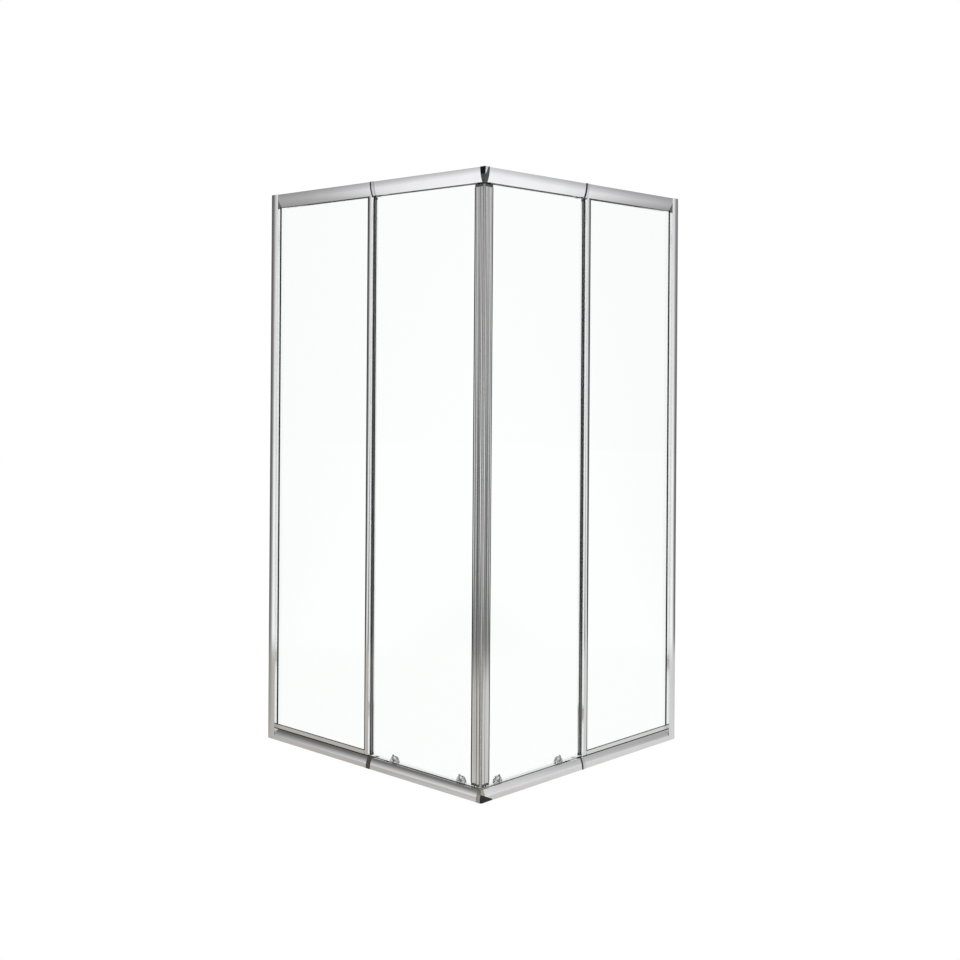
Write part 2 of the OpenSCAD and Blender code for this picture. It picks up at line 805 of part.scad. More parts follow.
module spring(i) {
    rings = spring_turns * spring_steps;
    rise = spring_z1 - spring_z0 - 2 * spring_wire_r;
    points = [
        for (j = [0 : rings])
            each spring_ring(360 * j / spring_steps, spring_wire_r + rise * j / rings)
    ];
    walls = [
        for (j = [0 : rings - 1], k = [0 : spring_sides - 1])
            let (n = (k + 1) % spring_sides, a = j * spring_sides, b = a + spring_sides)
            each [[a + k, b + k, a + n], [a + n, b + k, b + n]]
    ];
    last = rings * spring_sides;
    ends = [
        for (k = [1 : spring_sides - 2])
            each [[0, k, k + 1], [last, last + k + 1, last + k]]
    ];
    color("silver") translate([rollers[i] + button_off, button_v, spring_z0])
        polyhedron(points = points, faces = concat(walls, ends));
}

on_left() wall_channel();  // left_wall_channel
on_right() wall_channel();  // right_wall_channel
on_left() fixed_stile();  // left_fixed_stile
on_right() fixed_stile();  // right_fixed_stile
on_left() fixed_upright();  // left_fixed_upright
on_right() fixed_upright();  // right_fixed_upright
on_left() fixed_sill();  // left_fixed_sill
on_right() fixed_sill();  // right_fixed_sill
on_left() fixed_glass();  // left_fixed_glass
on_right() fixed_glass();  // right_fixed_glass
on_left() gasket();  // left_gasket
on_right() gasket();  // right_gasket
on_left() top_rail_wall();  // left_top_rail_wall
on_right() top_rail_wall();  // right_top_rail_wall
on_left() top_rail_door();  // left_top_rail_door
on_right() top_rail_door();  // right_top_rail_door
on_left() bottom_rail_wall();  // left_bottom_rail_wall
on_right() bottom_rail_wall();  // right_bottom_rail_wall
on_left() bottom_rail_door();  // left_bottom_rail_door
on_right() bottom_rail_door();  // right_bottom_rail_door
rail_joiners();
top_corner();
bottom_corner();
frame_screws();
door_stops();
upright_seals();
on_left() door_glass();  // left_door_glass
on_right() door_glass();  // right_door_glass
on_left() lead_profile();  // left_lead_profile
on_right() lead_profile();  // right_lead_profile
on_left() trail_profile();  // left_trail_profile
on_right() trail_profile();  // right_trail_profile
on_left() magnet_seal();  // left_magnet_seal
on_right() magnet_seal();  // right_magnet_seal
on_left() drip_seal();  // left_drip_seal
on_right() drip_seal();  // right_drip_seal
on_left() end_caps();  // left_end_caps
on_right() end_caps();  // right_end_caps
on_left() top_carriers();  // left_top_carriers
on_right() top_carriers();  // right_top_carriers
on_left() roller_bolts();  // left_roller_bolts
on_right() roller_bolts();  // right_roller_bolts
on_left() bottom_housings();  // left_bottom_housings
on_right() bottom_housings();  // right_bottom_housings
on_left() top_wheel(0);  // left_top_wheel_1
on_left() top_wheel(1);  // left_top_wheel_2
on_right() top_wheel(0);  // right_top_wheel_1
on_right() top_wheel(1);  // right_top_wheel_2
on_left() bottom_wheel(0);  // left_bottom_wheel_1
on_left() bottom_wheel(1);  // left_bottom_wheel_2
on_right() bottom_wheel(0);  // right_bottom_wheel_1
on_right() bottom_wheel(1);  // right_bottom_wheel_2
on_left() button(0);  // left_button_1
on_left() button(1);  // left_button_2
on_right() button(0);  // right_button_1
on_right() button(1);  // right_button_2
on_left() spring(0);  // left_spring_1
on_left() spring(1);  // left_spring_2
on_right() spring(0);  // right_spring_1
on_right() spring(1);  // right_spring_2
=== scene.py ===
# Corner shower enclosure: finishes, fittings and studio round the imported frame. Metres, +Z up.
import json
import math
import bmesh
import bpy
import numpy as np
from mathutils import Matrix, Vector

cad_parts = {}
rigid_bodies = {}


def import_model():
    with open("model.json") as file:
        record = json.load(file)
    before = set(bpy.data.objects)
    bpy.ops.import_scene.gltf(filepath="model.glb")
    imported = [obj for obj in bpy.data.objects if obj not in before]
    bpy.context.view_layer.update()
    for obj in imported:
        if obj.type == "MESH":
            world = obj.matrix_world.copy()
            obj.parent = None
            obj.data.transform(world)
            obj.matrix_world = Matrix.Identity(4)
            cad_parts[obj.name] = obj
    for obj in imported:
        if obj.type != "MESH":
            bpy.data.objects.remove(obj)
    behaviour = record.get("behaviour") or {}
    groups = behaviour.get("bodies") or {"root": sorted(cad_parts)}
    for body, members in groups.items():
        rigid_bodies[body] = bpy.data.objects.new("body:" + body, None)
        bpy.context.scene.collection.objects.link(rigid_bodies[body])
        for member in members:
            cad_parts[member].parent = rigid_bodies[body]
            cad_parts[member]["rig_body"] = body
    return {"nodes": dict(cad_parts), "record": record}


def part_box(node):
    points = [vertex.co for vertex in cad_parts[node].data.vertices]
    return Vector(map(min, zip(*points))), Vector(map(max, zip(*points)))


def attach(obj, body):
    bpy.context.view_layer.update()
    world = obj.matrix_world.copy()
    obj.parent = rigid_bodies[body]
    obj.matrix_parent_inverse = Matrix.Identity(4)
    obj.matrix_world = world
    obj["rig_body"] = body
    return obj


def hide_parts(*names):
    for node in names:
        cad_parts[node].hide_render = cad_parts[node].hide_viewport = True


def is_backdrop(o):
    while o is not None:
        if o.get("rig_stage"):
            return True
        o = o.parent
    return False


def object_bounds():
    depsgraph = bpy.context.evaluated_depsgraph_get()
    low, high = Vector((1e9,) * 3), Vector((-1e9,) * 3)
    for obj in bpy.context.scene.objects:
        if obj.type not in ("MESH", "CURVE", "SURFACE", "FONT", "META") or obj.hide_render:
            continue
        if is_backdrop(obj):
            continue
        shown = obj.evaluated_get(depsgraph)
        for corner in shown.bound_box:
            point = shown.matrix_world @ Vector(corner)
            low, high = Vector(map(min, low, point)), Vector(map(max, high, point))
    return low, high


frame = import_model()
cadLow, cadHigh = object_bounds()
nodes = frame["nodes"]
slotOf = {row["node"]: row["material_slot"] for row in frame["record"]["subparts"]}
print("frame loaded:", len(nodes), "nodes")

mm = 0.001


def linear(hexText):  # sRGB hex to linear: each channel through the sRGB curve
    channels = [int(hexText[i:i + 2], 16) / 255 for i in (1, 3, 5)]
    return [c / 12.92 if c <= 0.04045 else ((c + 0.055) / 1.055) ** 2.4 for c in channels] + [1.0]


# One node with its settings, socket values and links
def addNode(tree, kind, links=None, values=None, **settings):
    node = tree.nodes.new(kind)
    for name, value in settings.items():
        setattr(node, name, value)
    for key, value in (values or {}).items():
        node.inputs[key].default_value = value
    for key, source in (links or {}).items():
        tree.links.new(source, node.inputs[key])
    return node


def startMaterial(name):
    material = bpy.data.materials.new(name)
    material.use_nodes = True
    tree = material.node_tree
    tree.nodes.clear()
    return material, tree, addNode(tree, "ShaderNodeOutputMaterial")


def ramp(tree, source, stops):  # a colour ramp with (place, hex) stops
    node = addNode(tree, "ShaderNodeValToRGB", {"Fac": source})
    elements = node.color_ramp.elements
    elements[0].position, elements[0].color = stops[0][0], linear(stops[0][1])
    elements[1].position, elements[1].color = stops[-1][0], linear(stops[-1][1])
    for place, colour in stops[1:-1]:
        elements.new(place).color = linear(colour)
    return node


def rangeOf(tree, source, low, high):  # 0..1 stretched to low..high
    return addNode(tree, "ShaderNodeMapRange", {"Value": source}, {"To Min": low, "To Max": high})


def mixColours(tree, share, first, second):  # from one sRGB colour to another by a share of 0..1
    return addNode(tree, "ShaderNodeMix", {0: share}, {6: linear(first), 7: linear(second)}, data_type="RGBA")


# Bright anodised aluminium: an extrusion, chemically brightened, then anodised. The eye gets a near mirror
# with faint die lines along its length and a slow cloud in the colour.
aluminiumLook = {"colour": "#F4F4F5", "dull": "#EAEAEC", "lineSpacing": 1.4 * mm, "lineLength": 160 * mm,
                 "roughLow": 0.07, "roughHigh": 0.15, "lineDepth": 0.004 * mm, "cloudsPerMetre": 9.0,
                 # grooves: painted shade, dark lines where shade falls in the door profile's grooves
                 "grooves": [(0, "#2A2A2A"), (0.08, "#2A2A2A"), (0.11, "#FFFFFF"), (0.52, "#FFFFFF"),
                             (0.55, "#3C3C3C"), (0.62, "#3C3C3C"), (0.65, "#FFFFFF"), (0.92, "#FFFFFF"),
                             (0.95, "#484848"), (1, "#484848")]}


# Die lines run along the given axis; grooves is (name, object axis, place at the glass, place at the corner)
def makeAluminium(axis, grooves=None):
    material, tree, out = startMaterial("anodisedAluminium" + (grooves[0] if grooves else axis))
    place = addNode(tree, "ShaderNodeTexCoord").outputs["Object"]
    across, along = 1 / aluminiumLook["lineSpacing"], 1 / aluminiumLook["lineLength"]
    scale = [along if a == axis else across for a in "XYZ"]
    stretched = addNode(tree, "ShaderNodeMapping", {"Vector": place}, {"Scale": scale})
    lines = addNode(tree, "ShaderNodeTexNoise", {"Vector": stretched.outputs[0]},
                    {"Scale": 1.0, "Detail": 3.0})
    cloud = addNode(tree, "ShaderNodeTexNoise", {"Vector": place},
                    {"Scale": aluminiumLook["cloudsPerMetre"], "Detail": 2.0})
    colour = mixColours(tree, cloud.outputs["Fac"], aluminiumLook["colour"], aluminiumLook["dull"])
    # painted shade: the door profile's grooves are darkened by the place across it
    if grooves:  # black lines in the grooves of the door profile, by the place across it
        sideways = addNode(tree, "ShaderNodeSeparateXYZ", {"Vector": place}).outputs[grooves[1]]
        share = addNode(tree, "ShaderNodeMapRange", {"Value": sideways},
                        {"From Min": grooves[2], "From Max": grooves[3]})
        dark = ramp(tree, share.outputs[0], aluminiumLook["grooves"])
        colour = addNode(tree, "ShaderNodeMix", {6: colour.outputs[2], 7: dark.outputs[0]}, {0: 1.0},
                         data_type="RGBA", blend_type="MULTIPLY")
    rough = rangeOf(tree, lines.outputs["Fac"], aluminiumLook["roughLow"], aluminiumLook["roughHigh"])
    bump = addNode(tree, "ShaderNodeBump", {"Height": lines.outputs["Fac"]},
                   {"Strength": 1.0, "Distance": aluminiumLook["lineDepth"]})
    shader = addNode(tree, "ShaderNodeBsdfPrincipled", {"Base Color": colour.outputs[2],
                     "Roughness": rough.outputs[0], "Normal": bump.outputs[0]}, {"Metallic": 1.0})
    tree.links.new(shader.outputs[0], out.inputs["Surface"])
    return material


# Chromed ABS: a moulding plated with bright chrome. The eye gets a mirror, a touch wavy from the mould.
chromeLook = {"pale": "#EDEDEF", "deep": "#E2E2E4", "rough": (0.03, 0.09), "peel": 4 * mm, "smear": 18 * mm,
              "depth": 0.01 * mm}


def makeChrome():
    material, tree, out = startMaterial("chromedMoulding")
    place = addNode(tree, "ShaderNodeTexCoord").outputs["Object"]
    peel = addNode(tree, "ShaderNodeTexNoise", {"Vector": place},
                   {"Scale": 1 / chromeLook["peel"], "Detail": 1.0})
    smear = addNode(tree, "ShaderNodeTexNoise", {"Vector": place},
                    {"Scale": 1 / chromeLook["smear"], "Detail": 3.0})
    colour = mixColours(tree, smear.outputs["Fac"], chromeLook["pale"], chromeLook["deep"])
    rough = rangeOf(tree, smear.outputs["Fac"], *chromeLook["rough"])
    bump = addNode(tree, "ShaderNodeBump", {"Height": peel.outputs["Fac"]},
                   {"Strength": 1.0, "Distance": chromeLook["depth"]})
    shader = addNode(tree, "ShaderNodeBsdfPrincipled", {"Base Color": colour.outputs[2],
                     "Roughness": rough.outputs[0], "Normal": bump.outputs[0]}, {"Metallic": 1.0})
    tree.links.new(shader.outputs[0], out.inputs["Surface"])
    return material


# Toughened float glass, 5 mm: clear face on, green along the edge, very slightly wavy from the furnace
# rollers. Light passes it with a faint tint, so it throws almost no shadow.
glassLook = {"tint": "#FDFFFE", "edge": "#9CCDB9", "shadow": "#F3FAF7", "density": 1.2, "sheen": "#9A9A9A",
             "waveLength": 320 * mm, "waveDepth": 0.02 * mm}


def makeGlass():
    material, tree, out = startMaterial("toughenedGlass")
    place = addNode(tree, "ShaderNodeTexCoord").outputs["Object"]
    wave = addNode(tree, "ShaderNodeTexNoise", {"Vector": place},
                   {"Scale": 1 / glassLook["waveLength"], "Detail": 0.0})
    bump = addNode(tree, "ShaderNodeBump", {"Height": wave.outputs["Fac"]},
                   {"Strength": 1.0, "Distance": glassLook["waveDepth"]})
    shader = addNode(tree, "ShaderNodeBsdfPrincipled", {"Normal": bump.outputs[0]},
                     {"Base Color": linear(glassLook["tint"]), "Roughness": 0.0, "IOR": 1.52,
                      "Specular Tint": linear(glassLook["sheen"]), "Transmission Weight": 1.0})
    clear = addNode(tree, "ShaderNodeBsdfTransparent", None, {"Color": linear(glassLook["shadow"])})
    lightPath = addNode(tree, "ShaderNodeLightPath")
    mixed = addNode(tree, "ShaderNodeMixShader", {0: lightPath.outputs["Is Shadow Ray"], 1: shader.outputs[0],
                    2: clear.outputs[0]})
    tree.links.new(mixed.outputs[0], out.inputs["Surface"])
    body = addNode(tree, "ShaderNodeVolumeAbsorption", None,
                   {"Color": linear(glassLook["edge"]), "Density": glassLook["density"]})
    tree.links.new(body.outputs[0], out.inputs["Volume"])
    return material


# Plastics, rubber and steel: a base colour with a slow cloud, and a fine grain in roughness and bump
plainLooks = {
    # soft clear PVC, extruded: milky and smooth
    "softSeal": {"pale": "#DCDEDE", "deep": "#C6C9CA", "rough": (0.28, 0.42), "grain": 1.2 * mm,
                 "depth": 0.02 * mm, "values": {"Transmission Weight": 0.55, "IOR": 1.53}},
    # white soft PVC over a magnet strip: matt
    "magnetSeal": {"pale": "#F0F0EE", "deep": "#E2E2DF", "rough": (0.38, 0.5), "grain": 2.5 * mm,
                   "depth": 0.03 * mm, "values": {}},
    # ABS, moulded with a fine spark grain: a soft black sheen
    "blackMoulding": {"pale": "#2B2B2D", "deep": "#1E1E20", "rough": (0.38, 0.52), "grain": 0.5 * mm,
                      "depth": 0.03 * mm, "values": {}},
    # ABS, matt: deep black, the painted shade on the corner's shaded face
    "cornerBlack": {"pale": "#121213", "deep": "#0B0B0C", "rough": (0.4, 0.55), "grain": 0.6 * mm,
                    "depth": 0.02 * mm, "values": {"Specular IOR Level": 0.25}},
    # the same moulding, glossier: mid grey, the lit copy of the black one, painted light
    "cornerGrey": {"pale": "#5E5F61", "deep": "#525355", "rough": (0.3, 0.42), "grain": 0.8 * mm,
                   "depth": 0.02 * mm, "values": {}},
    # moulded nylon end caps: satin grey
    "capMoulding": {"pale": "#808184", "deep": "#6E6F72", "rough": (0.34, 0.46), "grain": 0.6 * mm,
                    "depth": 0.02 * mm, "values": {}},
    # painted shade at the rail joints and under the corner's foot: dull near black
    "sealLip": {"pale": "#343331", "deep": "#282726", "rough": (0.5, 0.65), "grain": 0.5 * mm,
                "depth": 0.02 * mm, "values": {"Specular IOR Level": 0.35}},
    # the same painted shade, lighter, in grey
    "greyLip": {"pale": "#66615C", "deep": "#57534F", "rough": (0.45, 0.6), "grain": 0.5 * mm,
                "depth": 0.02 * mm, "values": {}},
    # extruded glazing bead, black PVC: smooth
    "glazingBead": {"pale": "#262627", "deep": "#1B1B1C", "rough": (0.35, 0.5), "grain": 0.7 * mm,
                    "depth": 0.01 * mm, "values": {}},
    # ABS under a satin nickel plate: warm, blurred reflections
    "satinPlate": {"pale": "#C2BBB4", "deep": "#B2ABA4", "rough": (0.22, 0.34), "grain": 0.9 * mm,
                   "depth": 0.01 * mm, "values": {"Metallic": 0.75}},
    # moulded clear acrylic
    "clearMoulding": {"pale": "#F2F4F4", "deep": "#E6E9EA", "rough": (0.12, 0.22), "grain": 1.5 * mm,
                      "depth": 0.02 * mm, "values": {"Transmission Weight": 0.75, "IOR": 1.49}},
    # polypropylene fibre treated with silicone: soft silvery sheen
    "pileFibre": {"pale": "#C9CACB", "deep": "#A9ABAD", "rough": (0.5, 0.7), "grain": 0.4 * mm,
                  "depth": 0.05 * mm, "values": {"Sheen Weight": 0.3}},
    # moulded POM: satin grey
    "greyMoulding": {"pale": "#9B9EA1", "deep": "#86898C", "rough": (0.3, 0.42), "grain": 0.6 * mm,
                     "depth": 0.02 * mm, "values": {"Subsurface Weight": 0.08}},
    # plated sleeve over the rail joint: a bright, slightly soft mirror
    "jointMoulding": {"pale": "#E6E6E8", "deep": "#DADADC", "rough": (0.12, 0.2), "grain": 0.8 * mm,
                      "depth": 0.01 * mm, "values": {"Metallic": 1.0}},
    # turned acetal wheels: waxy white
    "acetal": {"pale": "#F1EFE8", "deep": "#E4E1D8", "rough": (0.25, 0.36), "grain": 1.0 * mm,
               "depth": 0.01 * mm, "values": {"Subsurface Weight": 0.1}},
    # cut EPDM: matt black
    "stopRubber": {"pale": "#232324", "deep": "#171718", "rough": (0.7, 0.85), "grain": 0.4 * mm,
                   "depth": 0.05 * mm, "values": {}},
    # stainless screws and bolts, turned: bright, with fine tool marks
    "turnedSteel": {"pale": "#C9C9C7", "deep": "#B4B4B2", "rough": (0.2, 0.34), "grain": 0.7 * mm,
                    "depth": 0.01 * mm, "values": {"Metallic": 1.0}},
    # drawn steel wire
    "springWire": {"pale": "#B5B6B6", "deep": "#8F9192", "rough": (0.24, 0.4), "grain": 0.5 * mm,
                   "depth": 0.01 * mm, "values": {"Metallic": 1.0}},
}
cloudSize = 22 * mm  # of the slow cloud in every one of them


def makePlain(name):
    look = plainLooks[name]
    material, tree, out = startMaterial(name)
    place = addNode(tree, "ShaderNodeTexCoord").outputs["Object"]
    cloud = addNode(tree, "ShaderNodeTexNoise", {"Vector": place}, {"Scale": 1 / cloudSize, "Detail": 3.0})
    grain = addNode(tree, "ShaderNodeTexNoise", {"Vector": place},
                    {"Scale": 1 / look["grain"], "Detail": 2.0})
    colour = mixColours(tree, cloud.outputs["Fac"], look["pale"], look["deep"])
    rough = rangeOf(tree, grain.outputs["Fac"], *look["rough"])
    bump = addNode(tree, "ShaderNodeBump", {"Height": grain.outputs["Fac"]},
                   {"Strength": 1.0, "Distance": look["depth"]})
    shader = addNode(tree, "ShaderNodeBsdfPrincipled", {"Base Color": colour.outputs[2],
                     "Roughness": rough.outputs[0], "Normal": bump.outputs[0]}, look["values"])
    tree.links.new(shader.outputs[0], out.inputs["Surface"])
    return material


aluminium = {axis: makeAluminium(axis) for axis in "XYZ"}
leadAluminium = {"left": makeAluminium("Z", ("GroovedLeft", "X", 430.5 * mm, 464.5 * mm)),
                 "right": makeAluminium("Z", ("GroovedRight", "Y", -430.5 * mm, -464.5 * mm))}
chrome, glass = makeChrome(), makeGlass()
plain = {name: makePlain(name) for name in plainLooks}
print("materials made:", len(bpy.data.materials))

# What each CAD node is made of
along = {"left": "X", "right": "Y"}
finishes = {"top_corner": plain["cornerGrey"], "bottom_corner": plain["satinPlate"],
            "frame_screws": plain["turnedSteel"], "door_stops": plain["stopRubber"],
            "upright_seals": plain["softSeal"], "rail_joiners": plain["jointMoulding"]}
sideFinishes = {
    "wall_channel": aluminium["Z"], "fixed_stile": aluminium["Z"], "fixed_upright": aluminium["Z"],
    "trail_profile": aluminium["Z"], "fixed_glass": glass, "door_glass": glass,
    "gasket": plain["softSeal"], "drip_seal": plain["softSeal"], "magnet_seal": plain["magnetSeal"],
    "end_caps": plain["capMoulding"], "top_carriers": plain["blackMoulding"],
    "roller_bolts": plain["turnedSteel"], "bottom_housings": plain["clearMoulding"]}
for side in along:
    for name in ("fixed_sill", "top_rail_wall", "top_rail_door", "bottom_rail_wall", "bottom_rail_door"):
        finishes[side + "_" + name] = aluminium[along[side]]
    for name, material in sideFinishes.items():
        finishes[side + "_" + name] = material
    finishes[side + "_lead_profile"] = leadAluminium[side]
    for i in "12":
        finishes[side + "_top_wheel_" + i] = finishes[side + "_bottom_wheel_" + i] = plain["acetal"]
        finishes[side + "_button_" + i] = plain["greyMoulding"]
        finishes[side + "_spring_" + i] = plain["springWire"]
for name, thing in nodes.items():
    thing.data.materials.clear()
    thing.data.materials.append(finishes[name])
print("nodes finished:", len(finishes))

# Each solid is shown as a merged copy with its edges broken: a quarter of a millimetre where it was sawn or
# moulded, and a wider ground seam on glass.
edgeLook = {"width": 0.25 * mm, "glassWidth": 0.5 * mm, "segments": 2, "smooth": math.radians(28),
            "flat": math.radians(0.05), "merge": 0.002 * mm}


def shadeByAngle(mesh):
    mesh.polygons.foreach_set("use_smooth", np.ones(len(mesh.polygons), bool))
    mesh.set_sharp_from_angle(angle=edgeLook["smooth"])


# A finished mesh becomes a piece that rides on a body, in place of the nodes that it stood for
def putOn(name, mesh, material, body, slot, *stoodFor):
    mesh.materials.append(material)
    piece = bpy.data.objects.new(name, mesh)
    bpy.context.scene.collection.objects.link(piece)
    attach(piece, body)
    if stoodFor:
        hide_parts(*stoodFor)
    return piece


def mergedCopy(name):  # the node's own triangles as one closed skin, flat areas joined into single faces
    source = nodes[name].data
    points = np.empty(len(source.vertices) * 3, np.float32)
    source.vertices.foreach_get("co", points)
    corners = np.empty(len(source.loops), np.int32)
    source.loops.foreach_get("vertex_index", corners)
    mesh = bpy.data.meshes.new(name + "_finished")
    mesh.from_pydata(points.reshape(-1, 3).tolist(), [], corners.reshape(-1, 3).tolist())
    work = bmesh.new()
    work.from_mesh(mesh)
    bmesh.ops.remove_doubles(work, verts=work.verts, dist=edgeLook["merge"])
    bmesh.ops.dissolve_limit(work, angle_limit=edgeLook["flat"], verts=work.verts, edges=work.edges)
    work.to_mesh(mesh)
    work.free()
    return mesh


def finishNode(name):
    mesh = mergedCopy(name)
    shadeByAngle(mesh)
    piece = putOn(name + "_finished", mesh, finishes[name], nodes[name]["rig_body"], slotOf[name], name)
    width = edgeLook["glassWidth"] if name.endswith("glass") else edgeLook["width"]
    broken = piece.modifiers.new("brokenEdges", "BEVEL")
    broken.width, broken.segments, broken.limit_method = width, edgeLook["segments"], "ANGLE"
    broken.angle_limit, broken.harden_normals, broken.use_clamp_overlap = edgeLook["smooth"], True, True
    return piece


# Small parts that are drawn anew, with the sockets, flanges and fibres that the plain solids leave out.
# Side coordinates, in mm: u from the wall to the corner, v inwards from the outermost face, z up.
halfSide = cadHigh[0] / mm
redrawn = ("frame_screws", "upright_seals", "left_roller_bolts", "right_roller_bolts", "left_drip_seal",
           "right_drip_seal")


def fromSide(side, points):  # side coordinates in mm to the part's frame in metres
    u, v, z = np.asarray(points, float).T
    if side == "left":
        return np.stack([u - halfSide, v - halfSide, z], axis=1) * mm
    return np.stack([halfSide - v, halfSide - u, z], axis=1) * mm


def gridQuads(rows, columns):  # faces between neighbouring points of a grid whose rows close on themselves
    r, c = np.meshgrid(np.arange(rows - 1), np.arange(columns), indexing="ij")
    here, below, on = r * columns, (r + 1) * columns, (c + 1) % columns
    return np.stack([here + c, below + c, below + on, here + on], -1).reshape(-1, 4)


def gather(shapes):  # several (points, faces) as one
    points, faces, count = [], [], 0
    for p, f in shapes:
        points.append(p)
        faces.append(f + count)
        count += len(p)
    return np.concatenate(points), np.concatenate(faces)


def faceOutwards(mesh, merge):  # faces turned outwards, once doubled points such as poles are merged
    work = bmesh.new()
    work.from_mesh(mesh)
    if merge:
        bmesh.ops.remove_doubles(work, verts=work.verts, dist=edgeLook["merge"])
    bmesh.ops.recalc_face_normals(work, faces=work.faces)
    work.to_mesh(mesh)
    work.free()
    shadeByAngle(mesh)
    return mesh


def closedMesh(name, points, faces):
    mesh = bpy.data.meshes.new(name)
    mesh.from_pydata(points.tolist(), [], faces.tolist())
    return faceOutwards(mesh, True)


def carriedUp(outline, z0, z1):  # a (u, v) outline at two heights
    return np.concatenate([np.column_stack([outline, np.full(len(outline), z)]) for z in (z0, z1)])


def carriedOn(outline, u0, u1):  # a (v, z) outline at two places along the side
    return np.concatenate([np.column_stack([np.full(len(outline), u), outline]) for u in (u0, u1)])


# Carried outlines as one mesh: walls between each pair of outlines, and both ends closed
def sweptMesh(name, side, sweeps):
    faces, count = [], 0
    for sweep in sweeps:
        edge = len(sweep) // 2
        ends = [list(range(edge)), list(range(2 * edge - 1, edge - 1, -1))]
        faces += [[i + count for i in face] for face in gridQuads(2, edge).tolist() + ends]
        count += len(sweep)
    mesh = bpy.data.meshes.new(name)
    mesh.from_pydata(fromSide(side, np.concatenate(sweeps)).tolist(), [], faces)
    return faceOutwards(mesh, False)


# Circles of radius r(angle) at height h, one for each (radius, height) station
def turned(stations, columns):
    angle = np.arange(columns) * 2 * np.pi / columns
    radius = np.stack([r(angle) if callable(r) else np.full(columns, float(r)) for r, _ in stations])
    height = np.array([h for _, h in stations], float)[:, None] + np.zeros(columns)
    points = np.stack([radius * np.cos(angle), radius * np.sin(angle), height], -1).reshape(-1, 3)
    return points, gridQuads(len(stations), columns)


# Radius of a hexagonal socket by angle: half its width over the cosine to the nearest flat
def hexagon(across):
    return lambda a: across / 2 / np.cos((a + np.pi / 6) % (np.pi / 3) - np.pi / 6)


def cross(reach, width):  # radius of a cross recess by angle: long along its four arms, short between them
    def radius(a):
        off = np.abs((a + np.pi / 4) % (np.pi / 2) - np.pi / 4)
        return np.minimum(reach, width / 2 / np.maximum(np.sin(off), width / 2 / reach))
    return radius


# Stations of a screw along its axis: socket floor, socket rim, head, shank and tip. Heights fall from the head.
screwEdge = {"crown": 0.86, "head": 0.3, "tip": 0.5, "taper": 0.4}


def screw(shankR, shankLength, headR, headT, socket, depth, dome=0.0):
    return [(0, headT - depth), (socket, headT - depth), (socket, headT + dome),
            (headR * screwEdge["crown"], headT), (headR, headT - screwEdge["head"]), (headR, 0), (shankR, 0),
            (shankR, -shankLength + screwEdge["tip"]), (shankR - screwEdge["taper"], -shankLength),
            (0, -shankLength)]


def alongV(shape, u, v, z, outwards):  # a turned shape whose head faces out of the enclosure, or into it
    points, faces = shape
    x, y, h = points.T
    return np.stack([u + x, v + (-h if outwards else h), z + y], axis=1), faces


def alongU(shape, u, v, z):  # a turned shape whose head faces the wall
    points, faces = shape
    x, y, h = points.T
    return np.stack([u - h, v + x, z + y], axis=1), faces


# Bolts through the glass, and the shoulder screws of the top wheels: turned stainless steel with hexagon
# sockets. Each bolt is (shank radius, shank length, head radius, head height).
boltLook = {"rollers": (590, 875), "spread": 17, "z": 1823, "low": (6.5, 41), "glassFront": 26.5,
            "short": (2.5, 8.5, 4.5, 2.4), "long": (2.5, 13.5, 4.5, 2.4), "socket": 2.5, "depth": 1.6,
            "shoulder": (3.0, 12.9, 5.0, 2.0), "shoulderSocket": 3.0, "shoulderDepth": 1.4,
            "axleZ": 1825.7, "axleSeat": 44.8, "columns": 48}
boltSocket, shoulderSocket = hexagon(boltLook["socket"]), hexagon(boltLook["shoulderSocket"])
shortBolt = turned(screw(*boltLook["short"], boltSocket, boltLook["depth"]), boltLook["columns"])
longBolt = turned(screw(*boltLook["long"], boltSocket, boltLook["depth"]), boltLook["columns"])
shoulderScrew = turned(screw(*boltLook["shoulder"], shoulderSocket, boltLook["shoulderDepth"]),
                       boltLook["columns"])
for side in along:
    parts = []
    for u in boltLook["rollers"]:
        for shift in (-boltLook["spread"], boltLook["spread"]):
            parts.append(alongV(shortBolt, u + shift, boltLook["glassFront"], boltLook["z"], True))
        lowU, lowZ = boltLook["low"]
        parts.append(alongV(longBolt, u + lowU, boltLook["glassFront"], lowZ, True))
        parts.append(alongV(shoulderScrew, u, boltLook["axleSeat"], boltLook["axleZ"], False))
    points, faces = gather(parts)
    mesh = closedMesh(side + "_socket_bolts", fromSide(side, points), faces)
    putOn(side + "_socket_bolts", mesh, plain["turnedSteel"], side + "_door", "stainless_steel",
          side + "_roller_bolts")

# Frame screws: pan heads with a cross recess, and domed caps on the three that hold each stile in its channel
screwLook = {"web": ((529.5, 19.5), (945, 19.5), (529.5, 1827.5), (945, 1827.5)), "webV": 23.0,
             "channelU": 14.5, "channelV": 22.7, "channelZ": (308.333, 925.0, 1541.667),
             "portU": 31.7, "portV": 8.5, "portZ": (4.1, 1844.9),
             "webScrew": (1.6, 10, 3.4, 0.9), "portScrew": (1.6, 17.5, 3.4, 0.9), "depth": 0.7,
             "channelScrew": (1.6, 5.25, 3.4, 1.5), "channelDepth": 1.0, "channelDome": 0.3,
             "recess": (1.9, 0.9), "columns": 64, "capColumns": 48,
             "cap": ((0, 2.0), (3.6, 2.0), (3.6, 0), (5.5, 0), (5.5, 1.8), (5.25, 2.35), (4.5, 2.85),
                     (3.0, 3.1), (0, 3.2))}
recess, columns = cross(*screwLook["recess"]), screwLook["columns"]
webScrew = turned(screw(*screwLook["webScrew"], recess, screwLook["depth"]), columns)
portScrew = turned(screw(*screwLook["portScrew"], recess, screwLook["depth"]), columns)
channelScrew = turned(screw(*screwLook["channelScrew"], recess, screwLook["channelDepth"],
                            screwLook["channelDome"]), columns)
screwCap = turned(screwLook["cap"], screwLook["capColumns"])
parts = []
